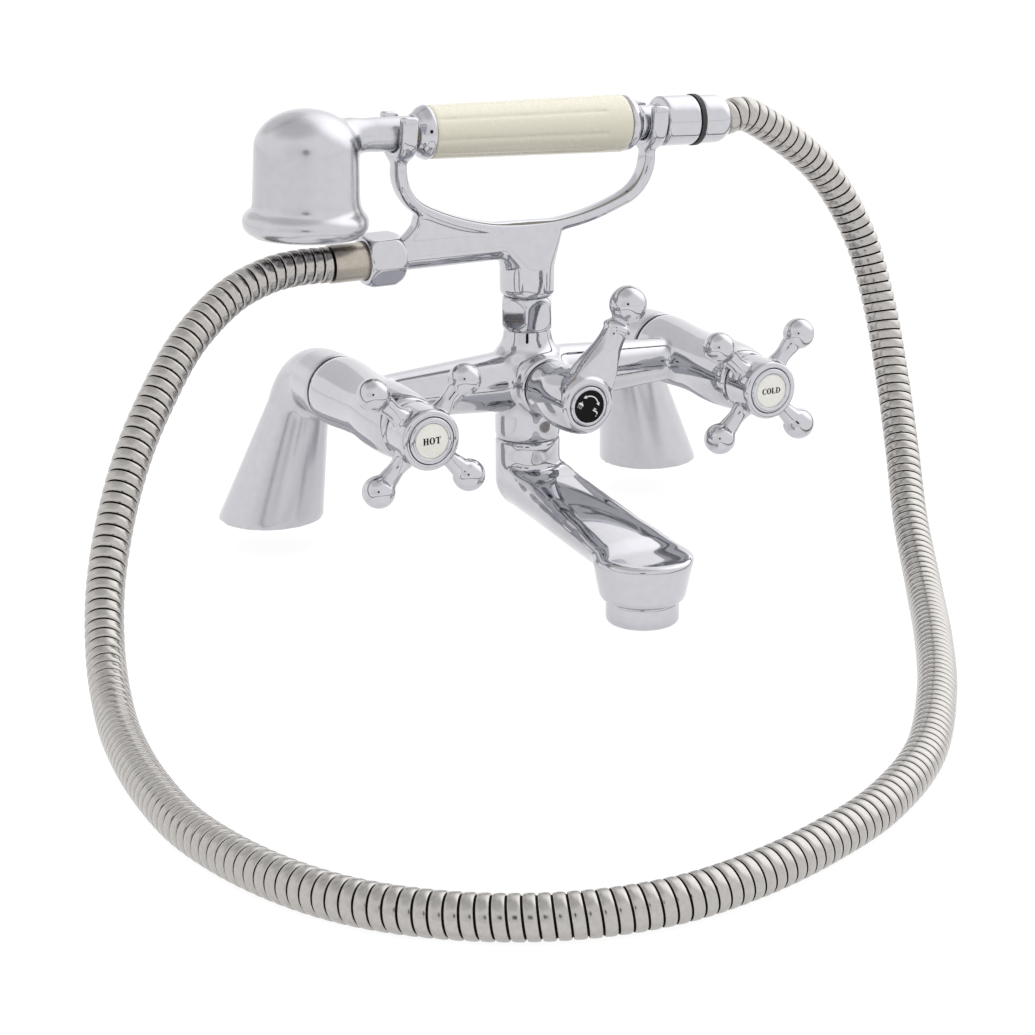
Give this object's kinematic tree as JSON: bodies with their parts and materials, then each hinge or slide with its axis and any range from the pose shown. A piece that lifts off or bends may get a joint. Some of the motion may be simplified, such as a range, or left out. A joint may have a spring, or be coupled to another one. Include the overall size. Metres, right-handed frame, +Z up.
{
  "type": "bath shower mixer",
  "caption": "Chrome deck bath mixer on leaning legs: cross handles, diverter lever, duck-bill spout, and a cradle holding a hand shower on a ribbed metal hose.",
  "frame": {"origin": "on the deck plane, midway between the two supply holes in the feet of the legs", "axes": "+X along the line of the inlets towards the cold side, -Y towards the user, +Z up from the deck"},
  "size_m": [0.3984, 0.3994, 0.1904],
  "materials": {
    "chrome": "polished mirror plating",
    "brass": "machined",
    "valve_ceramic": "lapped",
    "rubber": "matt black",
    "enamel": "glossy off-white",
    "black_index": "glossy black",
    "cream_grip": "satin cream",
    "hose_steel": "interlocked bright bands",
    "satin_nickel": "satin",
    "screw_steel": "machined",
    "insert_plastic": "moulded"
  },
  "bodies": {
    "mixer": {"hot_leg": "chrome", "cold_leg": "chrome", "hot_leg_gasket": "rubber", "cold_leg_gasket": "rubber", "hot_leg_screw": "screw_steel", "cold_leg_screw": "screw_steel", "mixer_body": "chrome", "hot_cartridge": "brass", "cold_cartridge": "brass", "hot_seat_seal": "rubber", "cold_seat_seal": "rubber", "hot_fixed_disc": "valve_ceramic", "cold_fixed_disc": "valve_ceramic", "diverter_bonnet": "brass", "spout": "chrome", "spout_oring": "rubber", "aerator_ring": "chrome", "aerator_insert": "insert_plastic", "aerator_washer": "rubber", "cradle_nut": "chrome", "cradle_washer": "rubber", "cradle": "chrome", "hose_nut": "chrome", "hose_nut_washer": "rubber", "hose_ferrule": "satin_nickel", "hose": "hose_steel"},
    "hot_handle": {"hot_moving_disc": "valve_ceramic", "hot_spindle": "brass", "hot_handle": "chrome", "hot_handle_screw": "screw_steel", "hot_index_ring": "chrome", "hot_index_disc": "enamel"},
    "cold_handle": {"cold_moving_disc": "valve_ceramic", "cold_spindle": "brass", "cold_handle": "chrome", "cold_handle_screw": "screw_steel", "cold_index_ring": "chrome", "cold_index_disc": "enamel"},
    "diverter": {"diverter_valve": "valve_ceramic", "diverter_spindle": "brass", "diverter_oring": "rubber", "diverter_lever": "chrome", "diverter_screw": "screw_steel", "diverter_index_ring": "chrome", "diverter_index_disc": "black_index"},
    "handset": {"spray_head": "chrome", "spray_plate": "chrome", "spray_plate_screw": "screw_steel", "spray_plate_seal": "rubber", "front_collar": "chrome", "grip": "cream_grip", "grip_tube": "brass", "rear_collar": "chrome", "handset_tail": "chrome", "tail_ring": "rubber", "hose_end_nut": "chrome", "hose_end_washer": "rubber"}
  },
  "joints": [
    {"name": "hot_turn", "type": "hinge", "parent": "mixer", "child": "hot_handle", "pos_m": [-0.075, -0.1, 0.0605], "axis": [0, -1, 0], "range_deg": [0, 90]},
    {"name": "cold_turn", "type": "hinge", "parent": "mixer", "child": "cold_handle", "pos_m": [0.075, -0.1, 0.0605], "axis": [0, 1, 0], "range_deg": [0, 90]},
    {"name": "diverter_turn", "type": "hinge", "parent": "mixer", "child": "diverter", "pos_m": [0, -0.09, 0.0605], "axis": [0, -1, 0], "range_deg": [-15, 75]},
    {"name": "handset_lift", "type": "slide", "parent": "mixer", "child": "handset", "axis": [0, 0, 1], "range_m": [0, 0.08], "deforming": ["hose"]}
  ]
}
